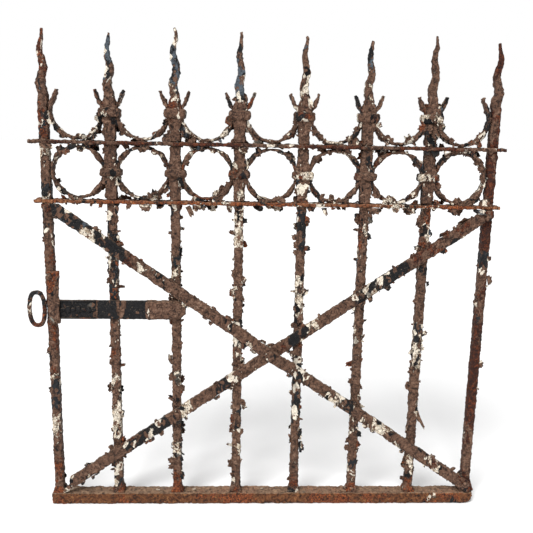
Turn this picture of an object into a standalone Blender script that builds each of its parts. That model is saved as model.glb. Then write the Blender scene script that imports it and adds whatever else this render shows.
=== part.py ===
"""Wrought-iron garden gate leaf: spear-topped verticals, rails, rings, scrolls, braces and a drop latch.

Metres, +Z up. The leaf stands in the XZ plane with its front towards -Y.
The origin is at the foot of the leaf, midway between its ends and its faces.
"""
import math

import bmesh
import bpy
from mathutils import Matrix, Vector

# ---- driving dimensions -------------------------------------------------
GAP = 0.0003                    # air left between touching pieces
BAR_COUNT = 8
PITCH = 0.127                   # centre to centre of the verticals
BAR = 0.019                     # side of the square bar
BAR_CHAMFER = 0.0015

BASE_DEPTH, BASE_HEIGHT = 0.034, 0.0256
BASE_LEFT, BASE_RIGHT = -0.460, 0.460
BASE_CORNER_LEFT, BASE_CORNER_RIGHT = 0.006, 0.017

RAIL_DEPTH, RAIL_THICK = 0.034, 0.009
RAIL_UPPER_Z, RAIL_LOWER_Z = 0.771, 0.6555
RAIL_UPPER_SPAN = (-0.475, 0.470)
RAIL_LOWER_SPAN = (-0.469, 0.468)

STRIP = 0.0055                  # thickness of the ring and scroll band
STRIP_DEPTH = 0.019
RING_STEPS = 32
SCROLL_TIP_X, SCROLL_TIP_Z = 0.0350, 0.043   # a tip, from the centre of the scroll's circle

COLLAR_WIDTH, COLLAR_DEPTH = 0.040, 0.027
COLLAR_UPPER_HEIGHT, COLLAR_LOWER_HEIGHT = 0.017, 0.014

SPEAR_ROOT_Z = 0.848
SPEAR_TIP_Z = (0.982, 0.978, 0.990, 0.986, 0.980, 0.976, 0.987, 0.977)
SPEAR_SWAY = (0.0046, 0.0044, 0.0046, 0.0030, 0.0030, 0.0036, 0.0034, -0.0046)
SPEAR_WAVE = 0.062              # length of one wave of the flame
SPEAR_LEVELS = 12
HEEL_HEIGHT, HEEL_FLARE = 0.034, 0.010

BRACE_WIDTH, BRACE_THICK = 0.0254, 0.008
BRACE_FALL = (-0.6874, 0.0065, 0.3414)   # slope, and a point (x, z) on the centre line
BRACE_RISE = (0.6913, -0.0234, 0.3218)
JOGGLE_FLAT, JOGGLE_RUN = 0.024, 0.020   # half the raised flat, and the length of each bend

LEVER_THICK, LEVER_HALF = 0.006, 0.020
PIVOT_X, PIVOT_Z = -0.1905, 0.4355
LEVER_END_X = -0.4505
LOOP_HALF_WIDTH, LOOP_HALF_HEIGHT = 0.0152, 0.0345   # of the centre line
LOOP_WIRE, LOOP_HALF_DEPTH, LOOP_SQUARENESS = 0.0052, 0.0040, 0.72
GUIDE_WIDTH, GUIDE_THICK = 0.024, 0.005
GUIDE_X = -0.436
GUIDE_TOP_Z, GUIDE_WINDOW_TOP_Z, GUIDE_FOOT_Z = 0.5150, 0.4960, 0.4065

RIVET_RADIUS, RIVET_SIDES = 0.004, 16
BORE_RADIUS = 0.0044

# ---- derived dimensions -------------------------------------------------
BAR_X = [(n - (BAR_COUNT - 1) / 2) * PITCH for n in range(BAR_COUNT)]
BAY_X = [(a + b) / 2 for a, b in zip(BAR_X, BAR_X[1:])]
BAR_NAMES = ["stile_left"] + [f"bar_{n}" for n in range(2, BAR_COUNT)] + ["stile_right"]
BAR_FRONT = BAR / 2
RING_Z = (RAIL_UPPER_Z + RAIL_LOWER_Z) / 2
RING_OUTER = (RAIL_UPPER_Z - RAIL_LOWER_Z - RAIL_THICK) / 2 - GAP
STRIP_MID = RING_OUTER - STRIP / 2
SCROLL_Z = RAIL_UPPER_Z + RAIL_THICK / 2 + GAP + RING_OUTER
COLLAR_HOLE_X = 2 * (PITCH / 2 - RING_OUTER + STRIP) + 0.0016
COLLAR_HOLE_Y = BAR + 2 * GAP
BRACE_BACK = BAR_FRONT + GAP                  # distance in front of the gate's middle plane
BRACE_TOP = BRACE_BACK + BRACE_THICK
BRACE_RAISED = BRACE_TOP + GAP
LEVER_BACK = BAR_FRONT + 2 * GAP
LEVER_FRONT = LEVER_BACK + LEVER_THICK
LOOP_X = LEVER_END_X - GAP - LOOP_HALF_WIDTH - LOOP_WIRE
CROSS_X = ((BRACE_RISE[0] * BRACE_RISE[1] - BRACE_RISE[2] - BRACE_FALL[0] * BRACE_FALL[1] + BRACE_FALL[2])
           / (BRACE_RISE[0] - BRACE_FALL[0]))

COLOURS = {
    "painted": ((0.20, 0.13, 0.09), 0.75, 0.1),
    "rusted": ((0.24, 0.11, 0.06), 0.85, 0.2),
    "black": ((0.03, 0.032, 0.035), 0.6, 0.2),
}


def brace_z(line, x):
    """Height of a brace's centre line at x."""
    slope, x0, z0 = line
    return z0 + slope * (x - x0)


CROSS_Z = brace_z(BRACE_FALL, CROSS_X)
GUIDE_RIVETS = {"guide_rivet": (BAR_X[0] + 0.002, (GUIDE_TOP_Z + GUIDE_WINDOW_TOP_Z) / 2)}
END_RIVETS = {
    "brace_rivet_upper_left": (BAR_X[0] + 0.003, 0.6405),
    "brace_rivet_upper_right": (BAR_X[7] - 0.003, 0.636),
    "brace_rivet_lower_right": (BAR_X[7] - 0.003, 0.046),
}
CROSSING_RIVETS = {
    "brace_rivet_fall_3": (BAR_X[2], brace_z(BRACE_FALL, BAR_X[2])),
    "brace_rivet_fall_6": (BAR_X[5], brace_z(BRACE_FALL, BAR_X[5])),
    "brace_rivet_rise_3": (BAR_X[2], brace_z(BRACE_RISE, BAR_X[2])),
    "brace_rivet_rise_6": (BAR_X[5], brace_z(BRACE_RISE, BAR_X[5])),
}
BRACE_RIVETS = {**END_RIVETS, **CROSSING_RIVETS}


# ---- helpers ------------------------------------------------------------
def clear_scene():
    """Removes every object the script finds in the open file."""
    for found in list(bpy.data.objects):
        bpy.data.objects.remove(found, do_unlink=True)


def new_collection(name):
    """A fresh collection linked to the scene."""
    collection = bpy.data.collections.new(name)
    bpy.context.scene.collection.children.link(collection)
    return collection


def material(name, kind):
    """A Principled material for one piece."""
    colour, roughness, metallic = COLOURS[kind]
    made = bpy.data.materials.new(name)
    made.use_nodes = True
    shader = made.node_tree.nodes["Principled BSDF"]
    shader.inputs["Base Color"].default_value = (*colour, 1.0)
    shader.inputs["Roughness"].default_value = roughness
    shader.inputs["Metallic"].default_value = metallic
    return made


def add_object(name, mesh, kind=None, location=(0, 0, 0)):
    """Links a mesh as a part, or as a cutter when no material kind is given."""
    piece = bpy.data.objects.new(name, mesh)
    piece.location = location
    if kind is None:
        CUTTERS.objects.link(piece)
        piece.hide_render = True
        piece.display_type = "WIRE"
    else:
        PARTS.objects.link(piece)
        piece.data.materials.append(material(name, kind))
    return piece


def box_mesh(name, size):
    """A box centred on the origin."""
    bm = bmesh.new()
    bmesh.ops.create_cube(bm, size=1.0)
    bmesh.ops.scale(bm, vec=Vector(size), verts=bm.verts)
    return finish_mesh(bm, name)


def bevel(piece, width, segments=1):
    """Adds a Bevel modifier to sharp edges."""
    modifier = piece.modifiers.new("soft_edges", "BEVEL")
    modifier.width = width
    modifier.segments = segments
    modifier.limit_method = "ANGLE"
    modifier.angle_limit = math.radians(50)


def boolean(piece, other, operation="DIFFERENCE"):
    """Cuts a piece with another object, or keeps what they share."""
    modifier = piece.modifiers.new(other.name, "BOOLEAN")
    modifier.operation = operation
    modifier.solver = "EXACT"
    modifier.object = other


def curve_mesh(curve):
    """Turns a curve into a welded mesh and removes the curve."""
    carrier = bpy.data.objects.new("carrier", curve)
    bpy.context.scene.collection.objects.link(carrier)
    bpy.context.view_layer.update()
    evaluated = carrier.evaluated_get(bpy.context.evaluated_depsgraph_get())
    mesh = bpy.data.meshes.new_from_object(evaluated)
    bm = bmesh.new()
    bm.from_mesh(mesh)
    bmesh.ops.remove_doubles(bm, verts=bm.verts, dist=0.00001)
    bm.to_mesh(mesh)
    bm.free()
    bpy.data.objects.remove(carrier, do_unlink=True)
    bpy.data.curves.remove(curve)
    return mesh


def plate_mesh(name, outline, thickness):
    """A flat outline in local XY, as thick as given and centred on local Z."""
    curve = bpy.data.curves.new(name, "CURVE")
    curve.dimensions = "2D"
    curve.fill_mode = "BOTH"
    curve.extrude = thickness / 2
    curve.render_resolution_u = 0
    spline = curve.splines.new("POLY")
    spline.points.add(len(outline) - 1)
    for point, (x, y) in zip(spline.points, outline):
        point.co = (x, y, 0, 1)
    spline.use_cyclic_u = True
    return curve_mesh(curve)


def arc(cx, cy, radius, start, end, steps):
    """Points on a circular arc, in degrees."""
    angles = [math.radians(start + (end - start) * n / steps) for n in range(steps + 1)]
    return [(cx + radius * math.cos(a), cy + radius * math.sin(a)) for a in angles]


def stand_up(piece):
    """Turns a plate drawn in XY so that its Y becomes the world's Z."""
    piece.rotation_euler = (math.pi / 2, 0, 0)


def band_outline(path, widths):
    """The closed outline of a band that follows a path, with a width at each point."""
    left, right = [], []
    for n, (x, y) in enumerate(path):
        ahead = path[min(n + 1, len(path) - 1)]
        behind = path[max(n - 1, 0)]
        run = Vector((ahead[0] - behind[0], ahead[1] - behind[1])).normalized()
        half = widths[n] / 2
        left.append((x - run.y * half, y + run.x * half))
        right.append((x + run.y * half, y - run.x * half))
    return left + right[::-1]


def frame_from(x_axis, y_axis, origin):
    """A placement whose local X and Y lie along the given world axes."""
    x_axis = Vector(x_axis).normalized()
    y_axis = Vector(y_axis).normalized()
    z_axis = x_axis.cross(y_axis)
    turn = Matrix((x_axis, y_axis, z_axis)).transposed().to_4x4()
    return Matrix.Translation(origin) @ turn


def cylinder_into(bm, radius, y_from, y_to, x, z, sides=RIVET_SIDES):
    """Adds a cylinder along world Y to a bmesh."""
    turn = Matrix.Rotation(math.pi / 2, 4, "X")
    place = Matrix.Translation((x, (y_from + y_to) / 2, z)) @ turn
    bmesh.ops.create_cone(
        bm, cap_ends=True, segments=sides, matrix=place, depth=abs(y_to - y_from),
        radius1=radius, radius2=radius,
    )


def finish_mesh(bm, name):
    """Stores a bmesh as a mesh."""
    mesh = bpy.data.meshes.new(name)
    bm.to_mesh(mesh)
    bm.free()
    return mesh


def smooth(piece):
    """Shades a round piece smooth, keeping its sharp edges."""
    piece.data.shade_smooth()
    piece.data.set_sharp_from_angle(angle=math.radians(40))


# ---- cutters ------------------------------------------------------------
def bore_cutter(name, places):
    """One cutter holding a rivet bore at each (x, z)."""
    bm = bmesh.new()
    for x, z in places:
        cylinder_into(bm, BORE_RADIUS, 0.05, -0.05, x, z)
    return add_object(name, finish_mesh(bm, name))


def punch_cutter():
    """Square punches, one for each vertical, that open both upper rails."""
    height = RAIL_UPPER_Z - RAIL_LOWER_Z + 0.04
    side = BAR + 2 * GAP
    middle = (RAIL_UPPER_Z + RAIL_LOWER_Z) / 2
    punch = add_object("bar_punches", box_mesh("bar_punches", (side, side, height)),
                       location=(BAR_X[0], 0, middle))
    repeat = punch.modifiers.new("each_vertical", "ARRAY")
    repeat.count = BAR_COUNT
    repeat.use_relative_offset = False
    repeat.use_constant_offset = True
    repeat.constant_offset_displace = (PITCH, 0, 0)
    return punch


# ---- verticals ----------------------------------------------------------
def spear_shape(height, tip_z, sway):
    """Scale and sideways shift of a vertical's section at a height on its flame."""
    t = (height - SPEAR_ROOT_Z) / (tip_z - SPEAR_ROOT_Z)
    width = 1.0 - 0.70 * t ** 1.6
    ease = min(1.0, t / 0.25) * (1.0 - 0.45 * t)
    shift = -sway * ease * math.cos(2 * math.pi * (height - SPEAR_ROOT_Z - 0.034) / SPEAR_WAVE)
    return width, shift


def make_vertical(name, x, tip_z, sway, heel):
    """A square bar with chamfered corners, drawn out into a wavy spear."""
    foot_z = BASE_HEIGHT + GAP
    height = tip_z - foot_z
    bm = bmesh.new()
    bmesh.ops.create_cube(bm, size=1.0)
    bmesh.ops.scale(bm, vec=(BAR, BAR, height), verts=bm.verts)
    bmesh.ops.translate(bm, vec=(0, 0, foot_z + height / 2), verts=bm.verts)
    corners = [e for e in bm.edges if abs(e.verts[0].co.z - e.verts[1].co.z) > BAR]
    bmesh.ops.bevel(bm, geom=corners, offset=BAR_CHAMFER, segments=1, affect="EDGES")
    step = (tip_z - SPEAR_ROOT_Z) / SPEAR_LEVELS
    cuts = [SPEAR_ROOT_Z + step * n for n in range(SPEAR_LEVELS)]
    if heel:
        cuts.append(foot_z + HEEL_HEIGHT)
    for z in cuts:
        geometry = bm.verts[:] + bm.edges[:] + bm.faces[:]
        bmesh.ops.bisect_plane(bm, geom=geometry, plane_co=(0, 0, z), plane_no=(0, 0, 1))
    for vert in bm.verts:
        if vert.co.z > SPEAR_ROOT_Z + step / 2:
            width, shift = spear_shape(vert.co.z, tip_z, sway)
            vert.co.x = vert.co.x * width + shift
            vert.co.y *= width
        if heel and vert.co.z < foot_z + step / 2 and vert.co.x > 0:
            vert.co.x += HEEL_FLARE
    return add_object(name, finish_mesh(bm, name), "painted", (x, 0, 0))


def make_verticals():
    """The two stiles and the six bars between them."""
    made = {}
    for name, x, tip_z, sway in zip(BAR_NAMES, BAR_X, SPEAR_TIP_Z, SPEAR_SWAY):
        made[name] = make_vertical(name, x, tip_z, sway, heel=name == "stile_right")
    pivot = (PIVOT_X, PIVOT_Z)
    drilled = {
        "stile_left": [GUIDE_RIVETS["guide_rivet"], BRACE_RIVETS["brace_rivet_upper_left"]],
        "bar_3": [BRACE_RIVETS["brace_rivet_fall_3"], BRACE_RIVETS["brace_rivet_rise_3"], pivot],
        "bar_6": [BRACE_RIVETS["brace_rivet_fall_6"], BRACE_RIVETS["brace_rivet_rise_6"]],
        "stile_right": [BRACE_RIVETS["brace_rivet_upper_right"], BRACE_RIVETS["brace_rivet_lower_right"]],
    }
    for name, places in drilled.items():
        boolean(made[name], bore_cutter(f"{name}_bores", places))


# ---- rails --------------------------------------------------------------
def make_punched_rail(name, z, span, punches):
    """A flat bar laid on its side, punched for the verticals."""
    left, right = span
    mesh = box_mesh(name, (right - left, RAIL_DEPTH, RAIL_THICK))
    rail = add_object(name, mesh, "rusted", ((left + right) / 2, 0, z))
    bevel(rail, 0.0018)
    boolean(rail, punches)


def make_base_rail():
    """The solid rail that the verticals stand on, with rounded lower corners."""
    outline = arc(BASE_LEFT + BASE_CORNER_LEFT, BASE_CORNER_LEFT, BASE_CORNER_LEFT, 180, 270, 3)
    outline += arc(BASE_RIGHT - BASE_CORNER_RIGHT, BASE_CORNER_RIGHT, BASE_CORNER_RIGHT, 270, 360, 5)
    outline += [(BASE_RIGHT, BASE_HEIGHT), (BASE_LEFT, BASE_HEIGHT)]
    rail = add_object("rail_bottom", plate_mesh("rail_bottom", outline, BASE_DEPTH), "rusted")
    stand_up(rail)


# ---- rings, scrolls and collars -----------------------------------------
def ring_profile():
    """The band's section, as a closed loop that runs down its outer side."""
    outer, inner, half = RING_OUTER, RING_OUTER - STRIP, STRIP_DEPTH / 2
    bm = bmesh.new()
    corners = [(outer, half), (outer, -half), (inner, -half), (inner, half)]
    verts = [bm.verts.new((r, 0, z)) for r, z in corners]
    for n in range(len(verts)):
        bm.edges.new((verts[n], verts[(n + 1) % len(verts)]))
    return finish_mesh(bm, "ring_profile")


def make_rings():
    """A bent ring in each bay between the two punched rails."""
    for n, x in enumerate(BAY_X):
        name = f"ring_{n + 1}"
        ring = add_object(name, ring_profile(), "painted", (x, 0, RING_Z))
        stand_up(ring)
        turn = ring.modifiers.new("round", "SCREW")
        turn.axis = "Z"
        turn.angle = 2 * math.pi
        turn.steps = RING_STEPS
        turn.render_steps = RING_STEPS
        turn.use_merge_vertices = True
        turn.merge_threshold = 0.00001
        turn.use_smooth_shade = True


def scroll_path():
    """Half a circle that rises beside each vertical, then leans back over the bay to a blunt tip."""
    rise = 0.011
    half = [(0, -STRIP_MID)] + arc(0, 0, STRIP_MID, -80, 0, 8)
    half += [(STRIP_MID, rise), (STRIP_MID - 0.0055, rise + 0.008), (SCROLL_TIP_X, SCROLL_TIP_Z)]
    mirrored = [(-x, z) for x, z in half[1:]]
    return mirrored[::-1] + half


def make_scrolls():
    """An open scroll in each bay above the upper rail."""
    path = scroll_path()
    widths = [STRIP] * len(path)
    for end, share in ((0, 0.85), (1, 1.5), (-2, 1.5), (-1, 0.85)):
        widths[end] = STRIP * share
    outline = band_outline(path, widths)
    for n, x in enumerate(BAY_X):
        name = f"scroll_{n + 1}"
        scroll = add_object(name, plate_mesh(name, outline, STRIP_DEPTH), "painted", (x, 0, SCROLL_Z))
        stand_up(scroll)


def make_collar(name, x, z, height, hole):
    """A bulged band clamped round a vertical and the strips beside it."""
    collar = add_object(name, box_mesh(name, (COLLAR_WIDTH, COLLAR_DEPTH, height)), "painted", (x, 0, z))
    bevel(collar, height * 0.2, 2)
    cutter = add_object(f"{name}_hole", hole, location=(x, 0, z))
    boolean(collar, cutter)


def make_collars():
    """Two collars on each of the six bars; the stiles have none."""
    hole = box_mesh("collar_hole", (COLLAR_HOLE_X, COLLAR_HOLE_Y, 0.05))
    for name, x in zip(BAR_NAMES[1:-1], BAR_X[1:-1]):
        make_collar(f"collar_upper_{name[-1]}", x, SCROLL_Z, COLLAR_UPPER_HEIGHT, hole)
        make_collar(f"collar_lower_{name[-1]}", x, RING_Z, COLLAR_LOWER_HEIGHT, hole)


# ---- braces -------------------------------------------------------------
def brace_profile(reach, raised):
    """Side view of a brace along its length: flat, or with a joggle over the other brace."""
    low, high = BRACE_BACK, BRACE_TOP
    if not raised:
        return [(-reach, low), (reach, low), (reach, high), (-reach, high)]
    step = BRACE_RAISED - BRACE_BACK
    flat, far = JOGGLE_FLAT, JOGGLE_FLAT + JOGGLE_RUN
    back = [(-reach, low), (-far, low), (-flat, low + step), (flat, low + step), (far, low), (reach, low)]
    front = [(s, y + BRACE_THICK) for s, y in back]
    return back + front[::-1]


def trim_plate(name, outline):
    """A thick plate whose outline is where a brace's ends are cut off."""
    plate = add_object(name, plate_mesh(name, outline, 0.12))
    stand_up(plate)
    return plate


def make_brace(name, line, raised, trim):
    """A flat bar across the front of the verticals, cut to length and drilled."""
    reach = 0.62
    mesh = plate_mesh(name, brace_profile(reach, raised), BRACE_WIDTH)
    brace = add_object(name, mesh, "painted")
    brace.matrix_world = frame_from((1, 0, line[0]), (0, -1, 0), (CROSS_X, 0, CROSS_Z))
    boolean(brace, trim_plate(f"{name}_trim", trim), "INTERSECT")
    on_line = [p for p in BRACE_RIVETS.values() if abs(p[1] - brace_z(line, p[0])) < BRACE_WIDTH / 2]
    boolean(brace, bore_cutter(f"{name}_bores", on_line + [(CROSS_X, CROSS_Z)]))


def make_braces():
    """The falling brace passes over the rising one at the middle."""
    left, right = BAR_X[0] - BAR / 2, BAR_X[7] + BAR / 2
    low = BASE_HEIGHT + 2 * GAP
    high = RAIL_LOWER_Z - RAIL_THICK / 2 - GAP
    fall_trim = [(left, low), (right - 0.001, low), (right - 0.001, high), (left, high)]
    cut_x, tail_x = BAR_X[0] + 0.0235, BAR_X[0] + 0.0105
    rise_trim = [(tail_x, low), (right, low), (right, high), (cut_x, high), (cut_x, 0.045), (tail_x, 0.035)]
    make_brace("brace_fall", BRACE_FALL, True, fall_trim)
    make_brace("brace_rise", BRACE_RISE, False, rise_trim)


# ---- rivets -------------------------------------------------------------
def make_rivet(name, x, z, seat, back, head=0.0078, dome=0.0042):
    """A rivet along Y: domed head at the seat, shank, and a flat tail head at the back."""
    bm = bmesh.new()
    rim, crown = (head, dome * 0.45), (head * 0.62, dome)
    levels = [(RIVET_RADIUS, back), (head * 0.9, back), (head * 0.7, back + 0.0025)]
    profile = [(0, -seat - crown[1]), (crown[0], -seat - crown[1]), (rim[0], -seat - rim[1]), (rim[0], -seat),
               (RIVET_RADIUS, -seat)] + levels + [(0, back + 0.0025)]
    verts = [bm.verts.new((r, 0, -y)) for r, y in profile]
    for a, b in zip(verts, verts[1:]):
        bm.edges.new((a, b))
    rivet = add_object(name, finish_mesh(bm, name), "rusted", (x, 0, z))
    rivet.rotation_euler = (math.pi / 2, 0, 0)
    turn = rivet.modifiers.new("turned", "SCREW")
    turn.axis = "Z"
    turn.angle = 2 * math.pi
    turn.steps = RIVET_SIDES
    turn.render_steps = RIVET_SIDES
    turn.use_merge_vertices = True
    turn.merge_threshold = 0.00001
    turn.use_smooth_shade = True


def make_rivets():
    """Rivets of the braces, the guide, the lever's pivot and the middle crossing."""
    behind = BAR / 2 + GAP
    for name, (x, z) in BRACE_RIVETS.items():
        make_rivet(name, x, z, BRACE_TOP + GAP, behind)
    for name, (x, z) in GUIDE_RIVETS.items():
        make_rivet(name, x, z, LEVER_FRONT + 2 * GAP + GUIDE_THICK + GAP, behind)
    make_rivet("latch_pivot", PIVOT_X, PIVOT_Z, LEVER_FRONT + GAP, behind, head=0.0095)
    washer_back = -BRACE_BACK + 2 * GAP + 0.005
    make_rivet("centre_rivet", CROSS_X, CROSS_Z, BRACE_RAISED + BRACE_THICK + GAP, washer_back + GAP,
               head=0.0115, dome=0.0065)


def make_washer():
    """The round disc behind the two braces at their crossing."""
    bm = bmesh.new()
    back = -BRACE_BACK + GAP
    cylinder_into(bm, 0.0165, back + 0.005, back, CROSS_X + 0.002, CROSS_Z + 0.006, sides=28)
    washer = add_object("centre_washer", finish_mesh(bm, "centre_washer"), "rusted")
    boolean(washer, bore_cutter("centre_washer_bore", [(CROSS_X, CROSS_Z)]))


# ---- latch --------------------------------------------------------------
def make_lever():
    """The drop lever: a plate with a round end about its pivot."""
    low, high = PIVOT_Z - LEVER_HALF, PIVOT_Z + LEVER_HALF
    outline = arc(PIVOT_X, PIVOT_Z, LEVER_HALF, -90, 90, 12)
    outline += [(LEVER_END_X + 0.004, high), (LEVER_END_X, high - 0.004)]
    outline += [(LEVER_END_X, low + 0.004), (LEVER_END_X + 0.004, low)]
    local = [(x - PIVOT_X, z - PIVOT_Z) for x, z in outline]
    lever = add_object("latch_lever", plate_mesh("latch_lever", local, LEVER_THICK), "black",
                       (PIVOT_X, -(LEVER_BACK + LEVER_FRONT) / 2, PIVOT_Z))
    stand_up(lever)
    boolean(lever, bore_cutter("lever_bore", [(PIVOT_X, PIVOT_Z)]))


def loop_point(turn):
    """A point of the loop's centre line, an oval with nearly straight sides."""
    c, s = math.cos(turn), math.sin(turn)
    x = math.copysign(abs(c) ** LOOP_SQUARENESS, c) * LOOP_HALF_WIDTH
    return x, math.copysign(abs(s) ** 0.95, s) * LOOP_HALF_HEIGHT


def make_loop():
    """The oval finger loop at the lever's free end, a little thinner from front to back."""
    curve = bpy.data.curves.new("latch_loop", "CURVE")
    curve.dimensions = "3D"
    curve.bevel_depth = LOOP_WIRE
    curve.bevel_resolution = 2
    curve.render_resolution_u = 0
    spline = curve.splines.new("POLY")
    count = 32
    spline.points.add(count - 1)
    for n, point in enumerate(spline.points):
        point.co = (*loop_point(2 * math.pi * n / count), 0, 1)
    spline.use_cyclic_u = True
    mesh = curve_mesh(curve)
    mesh.transform(Matrix.Diagonal((1, 1, LOOP_HALF_DEPTH / LOOP_WIRE, 1)))
    middle = -(BAR_FRONT + GAP + LOOP_HALF_DEPTH)
    loop = add_object("latch_loop", mesh, "black", (LOOP_X, middle, PIVOT_Z))
    stand_up(loop)
    smooth(loop)


def make_guide():
    """The staple on the left stile that holds the lever in and limits its lift."""
    seat = BAR_FRONT + GAP
    inner = LEVER_FRONT + 2 * GAP
    outer = inner + GUIDE_THICK
    rest = PIVOT_Z - LEVER_HALF - GAP
    outline = [(-seat, GUIDE_FOOT_Z), (-seat, rest), (-inner, rest), (-inner, GUIDE_WINDOW_TOP_Z),
               (-seat, GUIDE_WINDOW_TOP_Z), (-seat, GUIDE_TOP_Z), (-outer + 0.001, GUIDE_TOP_Z),
               (-outer, GUIDE_TOP_Z - 0.001), (-outer, GUIDE_FOOT_Z + 0.001), (-outer + 0.001, GUIDE_FOOT_Z)]
    guide = add_object("latch_guide", plate_mesh("latch_guide", outline, GUIDE_WIDTH), "rusted")
    guide.matrix_world = frame_from((0, 1, 0), (0, 0, 1), (GUIDE_X, 0, 0))
    boolean(guide, bore_cutter("guide_bore", [GUIDE_RIVETS["guide_rivet"]]))


clear_scene()
PARTS = new_collection("garden_gate")
CUTTERS = new_collection("cutters")
make_verticals()
PUNCHES = punch_cutter()
make_punched_rail("rail_upper", RAIL_UPPER_Z, RAIL_UPPER_SPAN, PUNCHES)
make_punched_rail("rail_lower", RAIL_LOWER_Z, RAIL_LOWER_SPAN, PUNCHES)
make_base_rail()
make_rings()
make_scrolls()
make_collars()
make_braces()
make_washer()
make_rivets()
make_lever()
make_loop()
make_guide()
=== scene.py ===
"""The looks of a wrought-iron garden gate leaf: peeling paint, rust, flakes and a plain studio."""
import math
import random
from statistics import NormalDist

import bmesh
import bpy
from mathutils import Matrix, Vector


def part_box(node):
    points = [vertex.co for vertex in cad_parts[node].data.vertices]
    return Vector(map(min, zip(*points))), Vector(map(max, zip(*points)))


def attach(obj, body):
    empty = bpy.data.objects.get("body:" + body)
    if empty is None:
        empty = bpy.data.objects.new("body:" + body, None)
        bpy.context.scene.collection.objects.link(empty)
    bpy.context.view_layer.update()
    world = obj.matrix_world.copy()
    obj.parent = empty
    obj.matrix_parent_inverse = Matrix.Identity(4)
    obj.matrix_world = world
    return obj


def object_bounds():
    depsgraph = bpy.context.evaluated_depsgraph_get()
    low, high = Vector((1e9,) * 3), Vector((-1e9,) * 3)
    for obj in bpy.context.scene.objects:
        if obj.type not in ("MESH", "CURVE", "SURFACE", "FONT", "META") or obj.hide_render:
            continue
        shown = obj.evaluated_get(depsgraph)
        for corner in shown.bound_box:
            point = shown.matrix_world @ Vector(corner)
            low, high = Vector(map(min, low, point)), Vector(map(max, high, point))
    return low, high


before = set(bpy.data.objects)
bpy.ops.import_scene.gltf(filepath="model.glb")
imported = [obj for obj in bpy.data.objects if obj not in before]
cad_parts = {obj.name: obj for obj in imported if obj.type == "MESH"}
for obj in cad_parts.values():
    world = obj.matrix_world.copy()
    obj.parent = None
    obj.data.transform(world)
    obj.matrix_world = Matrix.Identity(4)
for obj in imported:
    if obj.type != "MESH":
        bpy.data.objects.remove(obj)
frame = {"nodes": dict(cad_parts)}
CAD_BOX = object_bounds()

# ---- measures taken from the frame ---------------------------------------
BARS = ["stile_left"] + [f"bar_{n}" for n in range(2, 8)] + ["stile_right"]
INNER_BARS = BARS[1:-1]
RINGS = [f"ring_{n}" for n in range(1, 8)]
SCROLLS = [f"scroll_{n}" for n in range(1, 8)]
COLLARS = [f"collar_{row}_{n}" for row in ("upper", "lower") for n in range(2, 8)]
RIVETS = [n for n in frame["nodes"] if "rivet" in n or n == "latch_pivot"]


def middle(node):
    """Centre of a node's box."""
    low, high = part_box(node)
    return [(a + b) / 2 for a, b in zip(low, high)]


RAIL_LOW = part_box("rail_lower")
RAIL_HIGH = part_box("rail_upper")
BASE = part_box("rail_bottom")
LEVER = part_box("latch_lever")
BAR_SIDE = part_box("bar_4")[1][1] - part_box("bar_4")[0][1]
PITCH = middle("ring_2")[0] - middle("ring_1")[0]
BAR_X = {n: middle("ring_1")[0] + (i - 0.5) * PITCH for i, n in enumerate(BARS)}
RING_MID_Z = middle("ring_1")[2]
SCROLL_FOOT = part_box("scroll_1")[0][2]
STRIP = 0.0055                  # thickness of the ring and scroll band
RING_RADIUS = (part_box("ring_1")[1][0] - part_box("ring_1")[0][0] - STRIP) / 2
SPEAR_ROOT = 0.848              # height where the verticals start to taper
ORNAMENT_SPAN = (-0.424, -0.352)     # along the lever, from the guide towards its middle
BOSSES = 7                           # along the lever's ornament
SWING_ROOM = 0.030                   # kept free of loose paint above and below the lever
ARM_THICK = 0.0072                   # half the thickness of the paint on the bands beside a vertical

# ---- camera and light ------------------------------------------------------
CAMERA_PLACE = (-0.0588, -1.311, 0.7862)
CAMERA_AZIMUTH, CAMERA_ELEVATION, CAMERA_ROLL = -2.33, 11.19, 1.15
CAMERA_LENS = 43.9
SKY_LIGHT = 0.42
KEY_DIRECTION, KEY_LIGHT, KEY_SPREAD = (0.45, 0.85, -1.05), 3.7, 28

# Shares of cream, dark and rust on the collars, and on those that differ from the rest.
PLAIN_COLLAR_WEAR = (0.03, 0.04, 0.12)
COLLAR_WEAR = {"collar_lower_5": (0.75, 0.10, 0.05), "collar_upper_6": (0.55, 0.05, 0.05),
               "collar_upper_7": (0.45, 0.10, 0.05), "collar_lower_7": (0.30, 0.12, 0.05)}


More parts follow.
